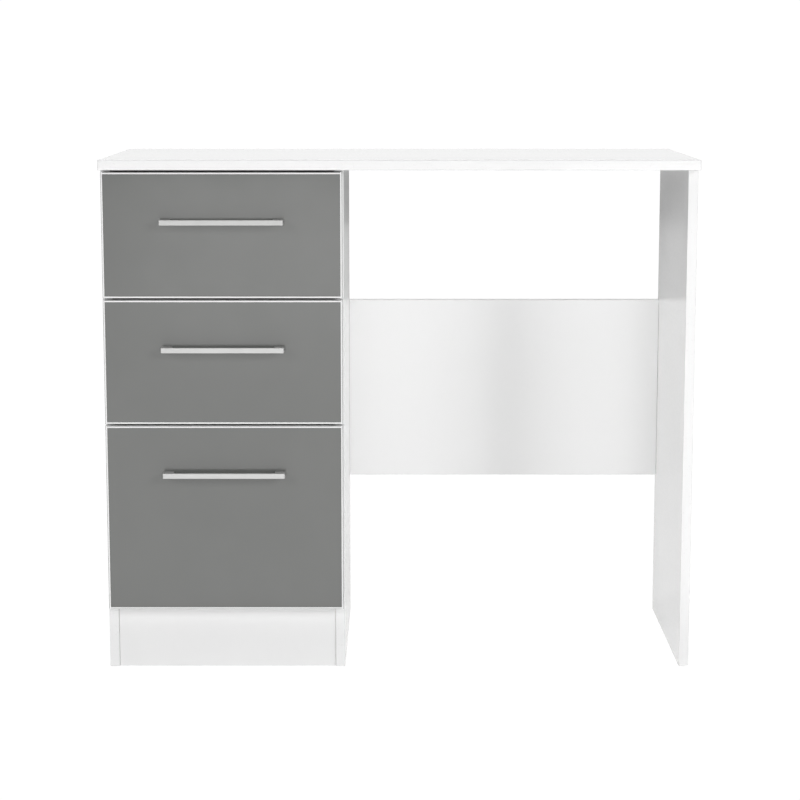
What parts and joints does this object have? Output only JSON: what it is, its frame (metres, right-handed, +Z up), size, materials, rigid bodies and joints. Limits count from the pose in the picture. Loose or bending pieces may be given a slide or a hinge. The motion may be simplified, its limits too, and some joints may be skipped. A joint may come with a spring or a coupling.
{
  "type": "writing desk",
  "caption": "White writing desk with a pedestal of grey-fronted drawers on roller runners, flat bar handles, a panel leg and a rear modesty panel.",
  "frame": {"origin": "on the floor, in the middle of the whole width and of the whole depth with the handles", "axes": "+X to the user's right, +Y to the back, +Z up; the drawers open towards -Y"},
  "size_m": [0.92, 0.4188, 0.8],
  "materials": {
    "white_board": "satin white melamine on chipboard",
    "grey_front": "glossy grey foil on board, with thin white edging",
    "white_hardboard": "white painted hardboard",
    "satin_metal": "satin silver",
    "coated_steel": "white epoxy coating on folded steel",
    "zinc_screw": "bright zinc",
    "nylon": "moulded natural nylon"
  },
  "bodies": {
    "desk": {"desktop": "white_board", "pedestal_left_side": "white_board", "pedestal_right_side": "white_board", "right_leg": "white_board", "modesty_panel": "white_board", "pedestal_base": "white_board", "pedestal_plinth": "white_board", "pedestal_back": "white_hardboard", "top_runner_left": "coated_steel", "top_runner_right": "coated_steel", "middle_runner_left": "coated_steel", "middle_runner_right": "coated_steel", "bottom_runner_left": "coated_steel", "bottom_runner_right": "coated_steel"},
    "top_drawer": {"top_drawer_front": "grey_front", "top_drawer_left_side": "white_board", "top_drawer_right_side": "white_board", "top_drawer_back": "white_board", "top_drawer_floor": "white_hardboard", "top_handle": "satin_metal", "top_handle_screw_left": "zinc_screw", "top_handle_screw_right": "zinc_screw", "top_rail_left": "coated_steel", "top_rail_right": "coated_steel"},
    "top_front_roller_left": {"top_front_roller_left": "nylon"},
    "top_rear_roller_left": {"top_rear_roller_left": "nylon"},
    "top_front_roller_right": {"top_front_roller_right": "nylon"},
    "top_rear_roller_right": {"top_rear_roller_right": "nylon"},
    "middle_drawer": {"middle_drawer_front": "grey_front", "middle_drawer_left_side": "white_board", "middle_drawer_right_side": "white_board", "middle_drawer_back": "white_board", "middle_drawer_floor": "white_hardboard", "middle_handle": "satin_metal", "middle_handle_screw_left": "zinc_screw", "middle_handle_screw_right": "zinc_screw", "middle_rail_left": "coated_steel", "middle_rail_right": "coated_steel"},
    "middle_front_roller_left": {"middle_front_roller_left": "nylon"},
    "middle_rear_roller_left": {"middle_rear_roller_left": "nylon"},
    "middle_front_roller_right": {"middle_front_roller_right": "nylon"},
    "middle_rear_roller_right": {"middle_rear_roller_right": "nylon"},
    "bottom_drawer": {"bottom_drawer_front": "grey_front", "bottom_drawer_left_side": "white_board", "bottom_drawer_right_side": "white_board", "bottom_drawer_back": "white_board", "bottom_drawer_floor": "white_hardboard", "bottom_handle": "satin_metal", "bottom_handle_screw_left": "zinc_screw", "bottom_handle_screw_right": "zinc_screw", "bottom_rail_left": "coated_steel", "bottom_rail_right": "coated_steel"},
    "bottom_front_roller_left": {"bottom_front_roller_left": "nylon"},
    "bottom_rear_roller_left": {"bottom_rear_roller_left": "nylon"},
    "bottom_front_roller_right": {"bottom_front_roller_right": "nylon"},
    "bottom_rear_roller_right": {"bottom_rear_roller_right": "nylon"}
  },
  "joints": [
    {"name": "top_drawer_slide", "type": "slide", "parent": "desk", "child": "top_drawer", "axis": [0, -1, 0], "range_m": [0, 0.265]},
    {"name": "top_front_roller_left_spin", "type": "hinge", "parent": "desk", "child": "top_front_roller_left", "pos_m": [-0.436, -0.1566, 0.6286], "axis": [1, 0, 0], "continuous": true},
    {"name": "top_rear_roller_left_spin", "type": "hinge", "parent": "top_drawer", "child": "top_rear_roller_left", "pos_m": [-0.4375, 0.1634, 0.6263], "axis": [1, 0, 0], "continuous": true},
    {"name": "top_front_roller_right_spin", "type": "hinge", "parent": "desk", "child": "top_front_roller_right", "pos_m": [-0.1075, -0.1566, 0.6286], "axis": [1, 0, 0], "continuous": true},
    {"name": "top_rear_roller_right_spin", "type": "hinge", "parent": "top_drawer", "child": "top_rear_roller_right", "pos_m": [-0.106, 0.1634, 0.6263], "axis": [1, 0, 0], "continuous": true},
    {"name": "middle_drawer_slide", "type": "slide", "parent": "desk", "child": "middle_drawer", "axis": [0, -1, 0], "range_m": [0, 0.265]},
    {"name": "middle_front_roller_left_spin", "type": "hinge", "parent": "desk", "child": "middle_front_roller_left", "pos_m": [-0.436, -0.1566, 0.4326], "axis": [1, 0, 0], "continuous": true},
    {"name": "middle_rear_roller_left_spin", "type": "hinge", "parent": "middle_drawer", "child": "middle_rear_roller_left", "pos_m": [-0.4375, 0.1634, 0.4303], "axis": [1, 0, 0], "continuous": true},
    {"name": "middle_front_roller_right_spin", "type": "hinge", "parent": "desk", "child": "middle_front_roller_right", "pos_m": [-0.1075, -0.1566, 0.4326], "axis": [1, 0, 0], "continuous": true},
    {"name": "middle_rear_roller_right_spin", "type": "hinge", "parent": "middle_drawer", "child": "middle_rear_roller_right", "pos_m": [-0.106, 0.1634, 0.4303], "axis": [1, 0, 0], "continuous": true},
    {"name": "bottom_drawer_slide", "type": "slide", "parent": "desk", "child": "bottom_drawer", "axis": [0, -1, 0], "range_m": [0, 0.265]},
    {"name": "bottom_front_roller_left_spin", "type": "hinge", "parent": "desk", "child": "bottom_front_roller_left", "pos_m": [-0.436, -0.1566, 0.1381], "axis": [1, 0, 0], "continuous": true},
    {"name": "bottom_rear_roller_left_spin", "type": "hinge", "parent": "bottom_drawer", "child": "bottom_rear_roller_left", "pos_m": [-0.4375, 0.1634, 0.1358], "axis": [1, 0, 0], "continuous": true},
    {"name": "bottom_front_roller_right_spin", "type": "hinge", "parent": "desk", "child": "bottom_front_roller_right", "pos_m": [-0.1075, -0.1566, 0.1381], "axis": [1, 0, 0], "continuous": true},
    {"name": "bottom_rear_roller_right_spin", "type": "hinge", "parent": "bottom_drawer", "child": "bottom_rear_roller_right", "pos_m": [-0.106, 0.1634, 0.1358], "axis": [1, 0, 0], "continuous": true}
  ],
  "couplings": [
    {"joint": "top_front_roller_left_spin", "follows": "top_drawer_slide", "rad_per_m": 125},
    {"joint": "top_rear_roller_left_spin", "follows": "top_drawer_slide", "rad_per_m": 125},
    {"joint": "top_front_roller_right_spin", "follows": "top_drawer_slide", "rad_per_m": 125},
    {"joint": "top_rear_roller_right_spin", "follows": "top_drawer_slide", "rad_per_m": 125},
    {"joint": "middle_front_roller_left_spin", "follows": "middle_drawer_slide", "rad_per_m": 125},
    {"joint": "middle_rear_roller_left_spin", "follows": "middle_drawer_slide", "rad_per_m": 125},
    {"joint": "middle_front_roller_right_spin", "follows": "middle_drawer_slide", "rad_per_m": 125},
    {"joint": "middle_rear_roller_right_spin", "follows": "middle_drawer_slide", "rad_per_m": 125},
    {"joint": "bottom_front_roller_left_spin", "follows": "bottom_drawer_slide", "rad_per_m": 125},
    {"joint": "bottom_rear_roller_left_spin", "follows": "bottom_drawer_slide", "rad_per_m": 125},
    {"joint": "bottom_front_roller_right_spin", "follows": "bottom_drawer_slide", "rad_per_m": 125},
    {"joint": "bottom_rear_roller_right_spin", "follows": "bottom_drawer_slide", "rad_per_m": 125}
  ]
}
